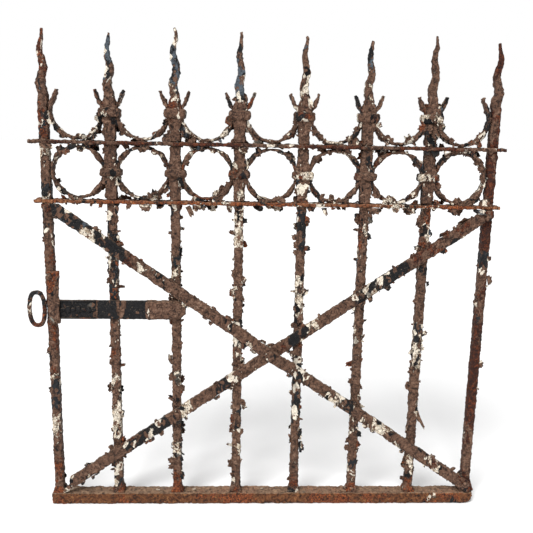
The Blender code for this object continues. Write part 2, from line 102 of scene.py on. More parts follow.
# ---- node helpers ---------------------------------------------------------
class Graph:
    """Short names for the shader nodes that every material here is made of."""

    def __init__(self, name):
        self.material = bpy.data.materials.new(name)
        self.material.use_nodes = True
        self.nodes = self.material.node_tree.nodes
        self.links = self.material.node_tree.links
        self.shader = self.nodes["Principled BSDF"]
        self.place = self.nodes.new("ShaderNodeTexCoord").outputs["Object"]

    def put(self, socket, value):
        """Links a socket, or sets a plain value."""
        if isinstance(value, bpy.types.NodeSocket):
            self.links.new(value, socket)
        elif isinstance(value, tuple):
            socket.default_value = (*value, 1.0)
        else:
            socket.default_value = value

    def noise(self, scale, seed, detail=6.0, rough=0.6, stretch=1.0, distort=0.0):
        """Cloudy noise from 0 to 1, at so many cells a metre. stretch lengthens it along Z."""
        mapping = self.nodes.new("ShaderNodeMapping")
        self.links.new(self.place, mapping.inputs["Vector"])
        mapping.inputs["Location"].default_value = (seed * 3.7, seed * 1.3, seed * 2.1)
        mapping.inputs["Scale"].default_value = (1, 1, 1 / stretch)
        noise = self.nodes.new("ShaderNodeTexNoise")
        self.links.new(mapping.outputs[0], noise.inputs["Vector"])
        noise.inputs["Scale"].default_value = scale
        noise.inputs["Detail"].default_value = detail
        noise.inputs["Roughness"].default_value = rough
        noise.inputs["Distortion"].default_value = distort
        return noise.outputs["Fac"]

    def warped(self, amount, scale, seed):
        """The place, pushed about by noise, so that edges drawn in it are ragged."""
        noise = self.nodes.new("ShaderNodeTexNoise")
        self.links.new(self.place, noise.inputs["Vector"])
        noise.inputs["Scale"].default_value = scale
        noise.inputs["Detail"].default_value = 4
        push = self.nodes.new("ShaderNodeVectorMath")
        push.operation = "MULTIPLY_ADD"
        self.links.new(noise.outputs["Color"], push.inputs[0])
        push.inputs[1].default_value = (amount, amount, amount)
        self.links.new(self.place, push.inputs[2])
        shift = self.nodes.new("ShaderNodeVectorMath")
        shift.operation = "ADD"
        self.links.new(push.outputs[0], shift.inputs[0])
        shift.inputs[1].default_value = (seed * 1.9, seed * 2.3, seed)
        return shift.outputs[0]

    def cells(self, where, scale, stretch=1.0, feature="F1"):
        """Voronoi cells: the distance output and each cell's own random value."""
        mapping = self.nodes.new("ShaderNodeMapping")
        self.links.new(where, mapping.inputs["Vector"])
        mapping.inputs["Scale"].default_value = (1, 1, 1 / stretch)
        cells = self.nodes.new("ShaderNodeTexVoronoi")
        cells.feature = feature
        self.links.new(mapping.outputs[0], cells.inputs["Vector"])
        cells.inputs["Scale"].default_value = scale
        if feature == "DISTANCE_TO_EDGE":
            return cells.outputs["Distance"], None
        parts = self.nodes.new("ShaderNodeSeparateColor")
        self.links.new(cells.outputs["Color"], parts.inputs[0])
        return cells.outputs["Distance"], parts.outputs[0]

    def facing_up(self):
        """How far the surface faces up, from -1 to 1."""
        geometry = self.nodes.new("ShaderNodeNewGeometry")
        split = self.nodes.new("ShaderNodeSeparateXYZ")
        self.links.new(geometry.outputs["Normal"], split.inputs[0])
        return split.outputs[2]

    def step(self, value, low, high, to_low=0.0, to_high=1.0):
        """A ramp from to_low below low to to_high above high."""
        node = self.nodes.new("ShaderNodeMapRange")
        self.put(node.inputs["Value"], value)
        node.inputs["From Min"].default_value = low
        node.inputs["From Max"].default_value = high
        node.inputs["To Min"].default_value = to_low
        node.inputs["To Max"].default_value = to_high
        return node.outputs[0]

    def math(self, operation, a, b=0.0):
        """One Math node."""
        node = self.nodes.new("ShaderNodeMath")
        node.operation = operation
        self.put(node.inputs[0], a)
        self.put(node.inputs[1], b)
        return node.outputs[0]

    def mix(self, factor, a, b, blend="MIX"):
        """One colour over another."""
        node = self.nodes.new("ShaderNodeMix")
        node.data_type = "RGBA"
        node.blend_type = blend
        self.put(node.inputs[0], factor)
        self.put(node.inputs[6], a)
        self.put(node.inputs[7], b)
        return node.outputs[2]

    def axis(self, index):
        """The place along one axis, in metres."""
        split = self.nodes.new("ShaderNodeSeparateXYZ")
        self.links.new(self.place, split.inputs[0])
        return split.outputs[index]

    def bump(self, height, depth, strength=1.0, under=None):
        """A bump of so many metres, over another if given."""
        node = self.nodes.new("ShaderNodeBump")
        node.inputs["Strength"].default_value = strength
        node.inputs["Distance"].default_value = depth
        self.put(node.inputs["Height"], height)
        if under is not None:
            self.links.new(under, node.inputs["Normal"])
        return node.outputs[0]


def hexed(code):
    """Linear colour of an sRGB hex code."""
    parts = [int(code[n:n + 2], 16) / 255 for n in (0, 2, 4)]
    return tuple(c / 12.92 if c <= 0.04045 else ((c + 0.055) / 1.055) ** 2.4 for c in parts)


# Tones of the top coat: dark, plain and light. The dark one also serves as painted shade in the wrinkle
# hollows, and the light one as painted highlight on the crests.
TAUPE_DARK, TAUPE, TAUPE_HIGHLIGHT = hexed("3c2a20"), hexed("765a4a"), hexed("a08472")
CREAM, CREAM_DIRTY = hexed("ece2d2"), hexed("b8a38a")
BLACK, CHARCOAL, SLATE = hexed("131214"), hexed("2b2a2c"), hexed("5d656d")
RUST_DEEP, RUST, RUST_BRIGHT = hexed("3a201a"), hexed("6f402c"), hexed("ad693d")
# Pale tint of the painted light from above on faces that look up.
TOP_LIGHT_TINT = hexed("b09a84")
FIELD_SPREAD = 0.085            # spread of the wear fields about one half: an estimate, not measured
DEPTH_OF_TONE = 1.14            # above one darkens and warms the middle tones
CHIPPING = 0.060                # how far single chips break the edge of a coat


def level(share):
    """The value of a wear field that roughly this share of the surface is above."""
    return 0.5 + FIELD_SPREAD * NormalDist().inv_cdf(1 - share)


def wear_field(g, seed, scale, chip, stretch=1.6):
    """Where a coat has gone: broad clouds, broken into chips along ragged cell edges."""
    clouds = g.noise(scale, seed, detail=5, rough=0.5, stretch=stretch, distort=0.4)
    chips = g.step(chip, 0, 1, -CHIPPING, CHIPPING)
    return g.math("ADD", clouds, chips)


def weathered(name, seed, cream, dark, rust, slate, deep, top_light_share=0.25, coats=None, zone=None,
              slate_from=None, islands=0.12):
    """Layers of old paint on rusty iron.

    cream, dark and rust are nominal shares of the surface where each shows. slate is how blue the dark coat is,
    deep how red-brown the rust is, and top_light_share how much paler the faces that look up are painted, as
    painted light from above.
    zone(graph) gives offsets of the cream, dark and rust fields by place. slate shows only above slate_from.
    islands is the share of the dark coat where single chips of the others are left.
    """
    g = Graph(name)
    # The three tones of the top coat: the dark one also goes into the hollows of the wrinkle relief as painted
    # shade, the light one onto its crests as painted highlight.
    tones = coats or (TAUPE_DARK, TAUPE, TAUPE_HIGHLIGHT)
    broad = g.noise(13, seed, detail=4, stretch=1.6)
    wrinkle = g.noise(150, seed + 1, detail=5, rough=0.62, distort=0.6)
    grain = g.noise(420, seed + 2, detail=3, rough=0.6)
    fold = g.math("ABSOLUTE", g.math("SUBTRACT", g.noise(62, seed + 9, detail=3, rough=0.5, distort=1.4), 0.5))
    crease = g.step(fold, 0.0, 0.022, 1.0, 0.0)
    where = g.warped(0.012, 90, seed)
    _, chip_small = g.cells(where, 190, 1.5)
    _, chip_large = g.cells(where, 85, 1.8)
    crack, _ = g.cells(where, 130, 1.5, "DISTANCE_TO_EDGE")

    # Painted shade and painted highlight: the top coat is darker in the wrinkle hollows and lighter on the
    # wrinkle crests.
    top = g.mix(g.step(wrinkle, 0.32, 0.48), tones[0], tones[1])
    painted_crest_highlight = g.math("MULTIPLY", g.step(wrinkle, 0.52, 0.66), g.step(broad, 0.4, 0.6, 0.35, 1.0))
    top = g.mix(painted_crest_highlight, top, tones[2])
    top = g.mix(g.step(chip_small, 0.0, 1.0, 0.0, 0.30), top, tones[0])
    top = g.mix(g.math("MULTIPLY", crease, 0.85), top, BLACK)

    fields = [wear_field(g, seed + 3, 24, chip_large), wear_field(g, seed + 4, 16, chip_large),
              wear_field(g, seed + 5, 14, chip_small, 1.3)]
    if zone:
        fields = [g.math("ADD", field, more) for field, more in zip(fields, zone(g))]
    masks, rims = [], []
    for field, share, soft in zip(fields, (cream, dark, rust), (0.005, 0.005, 0.03)):
        masks.append(g.step(field, level(share), level(share) + soft))
        rims.append(g.step(field, level(share) - 0.02, level(share)))
    cream_mask, dark_mask, rust_mask = masks

    cream_tone = g.mix(g.step(wrinkle, 0.38, 0.55), CREAM_DIRTY, CREAM)
    cracks = g.step(crack, 0.015, 0.05)
    cream_tone = g.mix(cracks, BLACK, cream_tone)
    cream_tone = g.mix(g.step(chip_large, 0.80, 0.82), cream_tone, BLACK)
    cream_tone = g.mix(g.step(chip_small, 0.22, 0.20), cream_tone, tones[1])
    blue = g.step(g.noise(38, seed + 6, detail=5, stretch=1.5), 0.66 - 0.3 * slate, 0.70 - 0.3 * slate)
    if slate_from:
        blue = g.math("MULTIPLY", blue, g.step(g.axis(2), slate_from, slate_from + 0.03, 0.12, 1.0))
    dark_tone = g.mix(blue, g.mix(wrinkle, BLACK, CHARCOAL), SLATE)
    dark_tone = g.mix(g.step(grain, 0.65, 0.75), dark_tone, CREAM_DIRTY)
    dark_tone = g.mix(g.step(chip_large, 1.0 - islands, 1.02 - islands), dark_tone, CREAM)
    dark_tone = g.mix(g.step(chip_small, 1.3 * islands, 1.3 * islands - 0.02), dark_tone, tones[1])
    rust_tone = g.mix(g.step(wrinkle, 0.40 + 0.1 * deep, 0.50 + 0.14 * deep), RUST_DEEP, RUST)
    rust_tone = g.mix(g.math("MULTIPLY", g.step(grain, 0.48, 0.62), 1.0 - 0.8 * deep), rust_tone, RUST_BRIGHT)

    colour = g.mix(g.math("MULTIPLY", rims[0], 0.8), top, BLACK)
    colour = g.mix(cream_mask, colour, cream_tone)
    colour = g.mix(g.math("MULTIPLY", rims[1], 0.6), colour, tones[0])
    colour = g.mix(dark_mask, colour, dark_tone)
    colour = g.mix(rust_mask, colour, rust_tone)
    pits = g.step(grain, 0.30, 0.40)
    colour = g.mix(g.step(pits, 0, 1, 0.7, 0.0), colour, BLACK)
    # Painted light from above: the faces that look up are painted paler, most on the wrinkle crests.
    painted_top_light = g.math("MULTIPLY", g.step(g.facing_up(), 0.45, 0.85), g.step(wrinkle, 0.3, 0.6, 0.3, 1.0))
    colour = g.mix(g.math("MULTIPLY", painted_top_light, top_light_share), colour, TOP_LIGHT_TINT)
    # Painted shade: the hollows of the wrinkle relief are darkened towards black before the tone curve.
    shaded = g.nodes.new("ShaderNodeGamma")
    g.put(shaded.inputs["Color"], g.mix(g.step(wrinkle, 0.30, 0.47, 0.45, 0.0), colour, BLACK))
    shaded.inputs["Gamma"].default_value = DEPTH_OF_TONE
    g.put(g.shader.inputs["Base Color"], shaded.outputs[0])

    coat = g.math("SUBTRACT", 1.0, g.math("MULTIPLY", cream_mask, 0.3))
    coat = g.math("MULTIPLY", coat, g.step(dark_mask, 0, 1, 1.0, 0.5))
    coat = g.math("MULTIPLY", coat, g.step(rust_mask, 0, 1, 1.0, 0.55))
    relief = g.bump(coat, 0.0022)
    relief = g.bump(wrinkle, 0.0042, 1.0, relief)
    relief = g.bump(crease, -0.0009, 1.0, relief)
    relief = g.bump(grain, 0.0010, 1.0, relief)
    relief = g.bump(cracks, 0.0004, 0.5, relief)
    g.put(g.shader.inputs["Normal"], relief)
    rough = g.math("SUBTRACT", g.step(wrinkle, 0.3, 0.7, 0.5, 0.85), g.math("MULTIPLY", dark_mask, 0.12))
    g.put(g.shader.inputs["Roughness"], rough)
    g.shader.inputs["Specular IOR Level"].default_value = 0.22
    return g.material


# ---- places where the wear changes ------------------------------------------
# What shows at a place, as shares of the cream, dark and rust layers: one half leaves a layer as it is.
SHOWS = {
    "coat": (0.25, 0.22, 0.25),
    "cream": (1.0, 0.55, 0.15),
    "dark": (0.55, 1.0, 0.08),
    "rust": (0.3, 0.4, 1.0),
    "pied": (0.85, 0.75, 0.3),
    "mixed": (0.5, 0.5, 0.5),
}
WEAR_PULL = 0.21                # how far a station moves the wear fields
LEVER_WEAR_PULL = 0.42          # the lever's patches have sharper edges
X, Z = 0, 2

# Stations along each member, in metres: heights of the verticals, and places across for the rest.
WEAR = {
    "stile_left": (Z, (0.03, "rust"), (0.07, "rust"), (0.12, "pied"), (0.19, "cream"), (0.24, "dark"),
                   (0.29, "pied"), (0.36, "mixed"), (0.40, "rust"), (0.46, "rust"), (0.51, "coat"),
                   (0.55, "pied"), (0.61, "dark"), (0.64, "rust"), (0.68, "dark"), (0.73, "pied"),
                   (0.80, "pied"), (0.84, "coat"), (0.88, "dark"), (0.92, "rust"), (0.97, "rust")),
    "bar_2": (Z, (0.03, "rust"), (0.07, "mixed"), (0.14, "coat"), (0.20, "pied"), (0.25, "cream"),
              (0.29, "cream"), (0.33, "coat"), (0.43, "coat"), (0.48, "pied"), (0.52, "dark"),
              (0.56, "cream"), (0.60, "cream"), (0.63, "dark"), (0.66, "coat"), (0.83, "coat"),
              (0.86, "cream"), (0.89, "dark"), (0.96, "dark")),
    "bar_3": (Z, (0.03, "rust"), (0.06, "mixed"), (0.09, "cream"), (0.14, "cream"), (0.18, "dark"),
              (0.23, "coat"), (0.48, "coat"), (0.54, "dark"), (0.58, "dark"), (0.60, "coat"),
              (0.63, "dark"), (0.67, "coat"), (0.84, "mixed"), (0.88, "dark"), (0.93, "pied"), (0.97, "dark")),
    "bar_4": (Z, (0.03, "mixed"), (0.07, "pied"), (0.14, "coat"), (0.22, "mixed"), (0.28, "coat"),
              (0.34, "mixed"), (0.40, "dark"), (0.44, "coat"), (0.53, "coat"), (0.58, "cream"),
              (0.63, "cream"), (0.67, "coat"), (0.85, "cream"), (0.88, "dark"), (0.97, "dark")),
    "bar_5": (Z, (0.03, "rust"), (0.07, "coat"), (0.16, "coat"), (0.21, "dark"), (0.26, "mixed"),
              (0.32, "pied"), (0.36, "rust"), (0.41, "cream"), (0.49, "cream"), (0.53, "coat"),
              (0.57, "dark"), (0.63, "dark"), (0.67, "coat"), (0.85, "pied"), (0.90, "mixed"), (0.96, "dark")),
    "bar_6": (Z, (0.03, "rust"), (0.08, "pied"), (0.13, "coat"), (0.18, "dark"), (0.23, "coat"),
              (0.28, "mixed"), (0.32, "coat"), (0.50, "coat"), (0.57, "pied"), (0.62, "cream"),
              (0.66, "coat"), (0.85, "pied"), (0.91, "mixed"), (0.97, "rust")),
    "bar_7": (Z, (0.03, "rust"), (0.08, "pied"), (0.13, "mixed"), (0.18, "coat"), (0.28, "coat"),
              (0.33, "pied"), (0.38, "cream"), (0.41, "dark"), (0.46, "mixed"), (0.53, "dark"),
              (0.57, "rust"), (0.61, "cream"), (0.64, "pied"), (0.67, "coat"), (0.85, "dark"),
              (0.90, "mixed"), (0.97, "coat")),
    "stile_right": (Z, (0.03, "rust"), (0.485, "rust"), (0.505, "dark"), (0.565, "dark"), (0.58, "rust"),
                    (0.69, "rust"), (0.80, "pied"), (0.83, "rust"), (0.90, "mixed"), (0.97, "rust")),
    "brace_fall": (X, (-0.45, "rust"), (-0.42, "dark"), (-0.37, "pied"), (-0.33, "cream"), (-0.305, "dark"),
                   (-0.28, "rust"), (-0.235, "rust"), (-0.222, "cream"), (-0.20, "coat"), (0.02, "coat"),
                   (0.07, "pied"), (0.10, "coat"), (0.16, "coat"), (0.18, "dark"), (0.21, "coat"),
                   (0.26, "cream"), (0.31, "coat"), (0.36, "cream"), (0.42, "rust")),
    "brace_rise": (X, (-0.45, "mixed"), (-0.38, "cream"), (-0.33, "rust"), (-0.27, "dark"), (-0.23, "dark"),
                   (-0.18, "cream"), (-0.14, "coat"), (-0.08, "dark"), (-0.045, "cream"), (-0.02, "coat"),
                   (0.03, "coat"), (0.05, "dark"), (0.09, "coat"), (0.13, "mixed"), (0.17, "dark"),
                   (0.22, "cream"), (0.26, "pied"), (0.30, "rust"), (0.44, "rust")),
    "rail_upper": (X, (-0.47, "coat"), (-0.30, "mixed"), (-0.10, "rust"), (0.05, "dark"), (0.15, "rust"),
                   (0.30, "coat"), (0.47, "rust")),
    "rail_lower": (X, (-0.47, "coat"), (-0.30, "rust"), (-0.20, "mixed"), (-0.10, "pied"), (-0.02, "rust"),
                   (0.05, "pied"), (0.12, "mixed"), (0.20, "coat"), (0.28, "pied"), (0.36, "rust"),
                   (0.47, "coat")),
    "latch_lever": (X, (-0.45, "dark"), (-0.366, "dark"), (-0.350, "mixed"), (-0.342, "dark"), (-0.325, "dark"),
                    (-0.312, "mixed"), (-0.298, "coat"), (-0.284, "dark"), (-0.252, "dark"), (-0.242, "coat"),
                    (-0.19, "coat")),
    "lever_sleeve": (X, (-0.256, "cream"), (-0.249, "cream"), (-0.244, "coat"), (-0.18, "coat")),
    "latch_guide": (Z, (0.40, "dark"), (0.43, "dark"), (0.45, "coat"), (0.49, "rust"), (0.515, "rust")),
}


def zone_of(member, pull=WEAR_PULL):
    """The wear of a member from station to station."""
    axis, *stations = WEAR[member]
    first, last = stations[0][0], stations[-1][0]

    def zone(g):
        ramp = g.nodes.new("ShaderNodeValToRGB")
        g.put(ramp.inputs[0], g.step(g.axis(axis), first, last))
        stops = ramp.color_ramp.elements
        stops[0].color = (*SHOWS[stations[0][1]], 1)
        stops[-1].color = (*SHOWS[stations[-1][1]], 1)
        for place, kind in stations[1:-1]:
            stops.new((place - first) / (last - first)).color = (*SHOWS[kind], 1)
        split = g.nodes.new("ShaderNodeSeparateColor")
        g.links.new(ramp.outputs[0], split.inputs[0])
        return [g.math("MULTIPLY", g.math("SUBTRACT", share, 0.5), pull) for share in split.outputs]

    return zone


# ---- surface modifiers ------------------------------------------------------
def cloud(name, size, depth):
    """A cloud texture for displacing a surface."""
    texture = bpy.data.textures.new(name, "CLOUDS")
    texture.noise_scale = size
    texture.noise_depth = depth
    texture.noise_basis = "BLENDER_ORIGINAL"
    return texture


def plates(name, size):
    """A texture of flat plates with grooves between them."""
    texture = bpy.data.textures.new(name, "VORONOI")
    texture.noise_scale = size
    texture.weight_1 = -1
    texture.weight_2 = 1
    texture.noise_intensity = 1.2
    return texture


COARSE = cloud("coarse_lumps", 0.016, 2)
PLATES = plates("paint_plates", 0.011)
FINE = cloud("fine_scale", 0.0055, 2)


def crusted(piece, voxel, coarse, fine, soften=0, grow=0.0):
    """Turns a piece's plain faces into a lumpy crust of paint and scale.

    soften is how many rounds of smoothing melt the corners, and grow is how far out the coat moves the surface.
    """
    remesh = piece.modifiers.new("even_skin", "REMESH")
    remesh.mode = "VOXEL"
    remesh.voxel_size = voxel
    remesh.use_smooth_shade = True
    if soften:
        melt = piece.modifiers.new("melt", "SMOOTH")
        melt.factor = 0.8
        melt.iterations = soften
    if grow:
        swell = piece.modifiers.new("swell", "DISPLACE")
        swell.strength = grow
        swell.mid_level = 0.0
    layers = (("lumps", COARSE, coarse), ("plates", PLATES, fine * 1.1), ("scale", FINE, fine))
    for name, texture, strength in layers:
        displace = piece.modifiers.new(name, "DISPLACE")
        displace.texture = texture
        displace.texture_coords = "LOCAL"
        displace.strength = strength
        displace.mid_level = 0.5


def paint(node, material):
    """Gives a CAD node one material."""
    mesh = frame["nodes"][node].data
    mesh.materials.clear()
    mesh.materials.append(material)


def dress_frame():
    """Materials and crust of every CAD node."""
    nodes = frame["nodes"]
    seeds = iter(range(1, 200))
    for name in BARS:
        cream, dark, rust, deep, lumps = 0.15, 0.14, 0.10, 0.4, 0.0045
        if name == "stile_right":
            cream, dark, rust, deep, lumps = 0.04, 0.10, 0.45, 1.0, 0.0022
        if name == "stile_left":
            cream, dark, rust, deep, lumps = 0.12, 0.18, 0.20, 0.6, 0.0028
        coat = weathered(f"{name}_coat", next(seeds), cream, dark, rust, 0.62, deep, zone=zone_of(name),
                         slate_from=SPEAR_ROOT)
        paint(name, coat)
        crusted(nodes[name], 0.002, lumps, 0.0028, grow=0.0005)
    # Dark, plain and light tones of the lower rail's top coat: painted shade in the hollows, its own colour,
    # and painted highlight on the crests.
    orange = (hexed("4a2c1e"), hexed("8f5c3e"), hexed("c79a74"))
    for name, cream, dark, rust, deep, coats in (("rail_upper", 0.05, 0.16, 0.40, 0.9, None),
                                                 ("rail_lower", 0.20, 0.16, 0.30, 0.0, orange)):
        coat = weathered(f"{name}_coat", next(seeds), cream, dark, rust, 0.1, deep, coats=coats,
                         zone=zone_of(name))
        paint(name, coat)
        crusted(nodes[name], 0.002, 0.0050, 0.0030)
    for name in RINGS + SCROLLS:
        paint(name, weathered(f"{name}_coat", next(seeds), 0.20, 0.26, 0.10, 0.1, 0.4))
        crusted(nodes[name], 0.0016, 0.0056, 0.0030, grow=0.0009)
    for name in COLLARS:
        shares = COLLAR_WEAR.get(name, PLAIN_COLLAR_WEAR)
        paint(name, weathered(f"{name}_coat", next(seeds), *shares, 0.1, 0.6))
        crusted(nodes[name], 0.0015, 0.0040, 0.0022, 6, 0.0022)
    for name in ("brace_fall", "brace_rise"):
        coat = weathered(f"{name}_coat", next(seeds), 0.12, 0.13, 0.10, 0.1, 0.9, zone=zone_of(name))
        paint(name, coat)
        crusted(nodes[name], 0.002, 0.0038, 0.0026, grow=0.0007)
    # Dark, plain and light tones of the bottom rail's top coat: painted shade in the hollows, its own colour,
    # and painted highlight on the crests.
    earthy = (hexed("452a1a"), hexed("784f34"), hexed("a67a52"))
    coat = weathered("rail_bottom_coat", next(seeds), 0.03, 0.04, 0.30, 0.1, 0.1, 0.6, coats=earthy)
    paint("rail_bottom", coat)
    crusted(nodes["rail_bottom"], 0.0022, 0.0034, 0.0026)
    rivet_coat = weathered("rivet_coat", next(seeds), 0.06, 0.14, 0.25, 0.1, 0.6)
    for name in RIVETS + ["centre_washer"]:
        paint(name, rivet_coat)
        crusted(nodes[name], 0.0011, 0.0014, 0.0009)
    coat = weathered("guide_coat", next(seeds), 0.05, 0.2, 0.35, 0.1, 0.2, zone=zone_of("latch_guide"))
    paint("latch_guide", coat)
    crusted(nodes["latch_guide"], 0.0013, 0.0042, 0.0018, 9, 0.0008)
    coat = weathered("lever_coat", next(seeds), 0.02, 0.5, 0.03, 0.05, 0.5,
                     zone=zone_of("latch_lever", LEVER_WEAR_PULL), islands=0.03)
    paint("latch_lever", coat)
    crusted(nodes["latch_lever"], 0.0012, 0.0012, 0.0008)
    paint("latch_loop", weathered("loop_coat", next(seeds), 0.38, 0.35, 0.12, 0.1, 0.6))
    crusted(nodes["latch_loop"], 0.001, 0.0018, 0.0010)


# ---- loose paint ------------------------------------------------------------
def new_piece(name, bm, materials, body="leaf"):
    """A new piece of the gate, riding on a body."""
    mesh = bpy.data.meshes.new(name)
    bm.to_mesh(mesh)
    bm.free()
    for material in materials:
        mesh.materials.append(material)
    piece = bpy.data.objects.new(name, mesh)
    bpy.context.scene.collection.objects.link(piece)
    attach(piece, body)
    return piece


def add_flake(bm, dice, root, out, along, length, width, lift):
    """One curled chip of paint, held along its root and standing out from it, with a ragged rim."""
    out, along = Vector(out).normalized(), Vector(along).normalized()
    normal = out.cross(along).normalized()
    steps = 4
    curl = dice.uniform(-0.5, 0.9)
    rows = []
    for i in range(steps + 1):
        u = i / steps
        reach = length * u
        row = []
        for j in range(steps + 1):
            v = j / steps - 0.5
            ragged = 1 + (dice.uniform(-0.22, 0.12) if i == steps or j in (0, steps) else 0)
            spread = width * v * (1 - 0.45 * u * u) * ragged
            rise = lift * length * u + curl * length * u * u * 0.5 + dice.uniform(-0.06, 0.06) * width
            point = Vector(root) + out * reach * ragged + along * spread + normal * rise
            point.y = min(max(point.y, CAD_BOX[0][1] - 0.004), CAD_BOX[1][1] + 0.004)
            row.append(bm.verts.new(point))
        rows.append(row)
    for a, b in zip(rows, rows[1:]):
        for n in range(steps):
            bm.faces.new((a[n], a[n + 1], b[n + 1], b[n]))


def finish_flakes(name, bm, front, back):
    """Gives a handful of flakes thickness, with a different coat on their backs."""
    piece = new_piece(name, bm, [front, back])
    shell = piece.modifiers.new("thick_paint", "SOLIDIFY")
    shell.thickness = 0.0007
    shell.offset = 0
    shell.material_offset = 1
    shell.material_offset_rim = 1
    return piece


def bar_flakes(dice, bm, x, low, high, count, size):
    """Chips along the edges of a vertical."""
    half = BAR_SIDE / 2
    for _ in range(count):
        side = dice.choice((-1, 1))
        z = dice.uniform(low, high)
        if x == BAR_X["stile_left"] and LEVER[0][2] - SWING_ROOM < z < LEVER[1][2] + SWING_ROOM:
            continue
        y = dice.choice((-half, -half, -half * 0.4, half * 0.5))
        out = (side, dice.uniform(-0.9, 0.5), dice.uniform(-0.5, 0.5))
        along = (dice.uniform(-0.2, 0.2), dice.uniform(-0.2, 0.2), 1)
        length = size * dice.uniform(0.35, 1.0) ** 2.2
        root = (x + side * half * dice.uniform(0.45, 0.95), y, z)
        add_flake(bm, dice, root, out, along, length, length * dice.uniform(0.5, 2.6), dice.uniform(-0.2, 0.5))


def rail_flakes(dice, bm, box, count, size):
    """Chips hanging and standing along the front and back edges of a rail."""
    low, high = box
    for _ in range(count):
        top = dice.random() < 0.4
        y = dice.choice((low[1] + 0.003, high[1] - 0.003, (low[1] + high[1]) / 2))
        root = (dice.uniform(low[0] + 0.03, high[0] - 0.03), y, high[2] - 0.001 if top else low[2] + 0.001)
        out = (dice.uniform(-0.8, 0.8), dice.uniform(-0.6, 0.2), 1 if top else -1)
        length = size * dice.uniform(0.3, 1.0) ** 1.7
        along = (1, dice.uniform(-0.3, 0.3), 0)
        add_flake(bm, dice, root, out, along, length, length * dice.uniform(0.8, 2.0), dice.uniform(-0.3, 0.3))


def circle_flakes(dice, bm, cx, cz, radius, start, end, count, size):
    """Chips round a bent band, inside and outside."""
    for _ in range(count):
        a = math.radians(dice.uniform(start, end))
        sign = dice.choice((-1, 1, 1))
        out = (sign * math.cos(a), dice.uniform(-0.7, 0.4), sign * math.sin(a))
        along = (-math.sin(a), 0, math.cos(a))
        y = dice.choice((-0.0095, -0.0095, 0.0085))
        root = (cx + radius * math.cos(a), y, cz + radius * math.sin(a))
        length = size * dice.uniform(0.35, 1.0) ** 1.5
        add_flake(bm, dice, root, out, along, length, length * dice.uniform(0.9, 2.2), dice.uniform(-0.3, 0.4))


def brace_flakes(dice, bm, name, count, size):
    """Chips along both edges of a brace, which runs through its two crossing rivets."""
    low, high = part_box(name)
    kind = name.split("_")[1]
    first, second = (Vector(middle(f"brace_rivet_{kind}_{n}")) for n in (3, 6))
    run = Vector((second.x - first.x, 0, second.z - first.z)).normalized()
    across = Vector((-run.z, 0, run.x))
    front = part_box("brace_rise")[0][1]
    for _ in range(count):
        side = dice.choice((-1, 1))
        x = dice.uniform(low[0] + 0.03, high[0] - 0.03)
        root = Vector((x, front + 0.001, first.z + (x - first.x) * run.z / run.x)) + across * side * 0.0120
        out = across * side + run * dice.uniform(-0.5, 0.5) + Vector((0, dice.uniform(-0.8, 0.4), 0))
        length = size * dice.uniform(0.3, 1.0) ** 1.6
        add_flake(bm, dice, root, out, run, length, length * dice.uniform(0.9, 2.4), dice.uniform(-0.2, 0.4))


# Large curls: root across and up, the way each points, its length and its width.
CURLS = (
    ((-0.166, 0.649), (0.5, -0.3, -1), 0.026, 0.012),
    ((-0.222, 0.662), (-0.3, -0.3, 1), 0.028, 0.015),
    ((-0.232, 0.661), (-0.9, -0.1, 1), 0.020, 0.013),
    ((0.108, 0.650), (0.1, -0.2, -1), 0.017, 0.012),
    ((0.309, 0.570), (-1, -0.2, 0.3), 0.019, 0.013),
    ((0.323, 0.215), (0.25, -0.2, -1), 0.034, 0.010),
    ((0.196, 0.222), (0.8, -0.3, 0.6), 0.019, 0.007),
    ((0.274, 0.782), (-0.6, -0.3, 1), 0.022, 0.020),
    ((0.250, 0.664), (-0.8, -0.3, 0.5), 0.022, 0.014),
    ((0.395, 0.624), (-0.5, -0.3, 0.8), 0.014, 0.030),
    ((0.358, 0.599), (-0.5, -0.3, 0.8), 0.012, 0.028),
    ((-0.300, 0.565), (-0.5, -0.3, 0.9), 0.016, 0.020),
)


def add_loose_paint():
    """Flakes on every member that sheds its paint."""
    dice = random.Random(7)
    front = weathered("flake_front", 71, 0.14, 0.10, 0.12, 0.3, 0.4)
    back = weathered("flake_back", 72, 0.32, 0.45, 0.10, 0.2, 0.4)
    bm = bmesh.new()
    for (x, z), out, length, width in CURLS:
        along = Vector(out).cross((0, 1, 0)) + Vector((0, 0.2, 0))
        add_flake(bm, dice, (x, -BAR_SIDE / 2, z), out, along, length, width, 0.3)
    finish_flakes("large_curls", bm, front, back)
    for name in BARS:
        bm = bmesh.new()
        count = {"stile_left": 24, "stile_right": 10}.get(name, 76)
        bar_flakes(dice, bm, BAR_X[name], BASE[1][2] + 0.02, RAIL_LOW[0][2] - 0.01, count, 0.0130)
        if name in INNER_BARS:
            bar_flakes(dice, bm, BAR_X[name], RAIL_LOW[1][2] + 0.01, RAIL_HIGH[1][2] + 0.09, 26, 0.011)
        finish_flakes(f"{name}_flakes", bm, front, back)
    for name, count in (("rail_upper", 60), ("rail_lower", 90)):
        bm = bmesh.new()
        rail_flakes(dice, bm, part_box(name), count, 0.016)
        finish_flakes(f"{name}_flakes", bm, front, back)
    bm = bmesh.new()
    for name in RINGS:
        x, _, z = middle(name)
        circle_flakes(dice, bm, x, z, RING_RADIUS, 0, 360, 22, 0.014)
    finish_flakes("ring_flakes", bm, front, back)
    bm = bmesh.new()
    for name in SCROLLS:
        circle_flakes(dice, bm, middle(name)[0], SCROLL_FOOT + RING_RADIUS, RING_RADIUS, 185, 355, 16, 0.014)
    finish_flakes("scroll_flakes", bm, front, back)
    for name in ("brace_fall", "brace_rise"):
        bm = bmesh.new()
        brace_flakes(dice, bm, name, 60, 0.010)
        finish_flakes(f"{name}_flakes", bm, front, back)


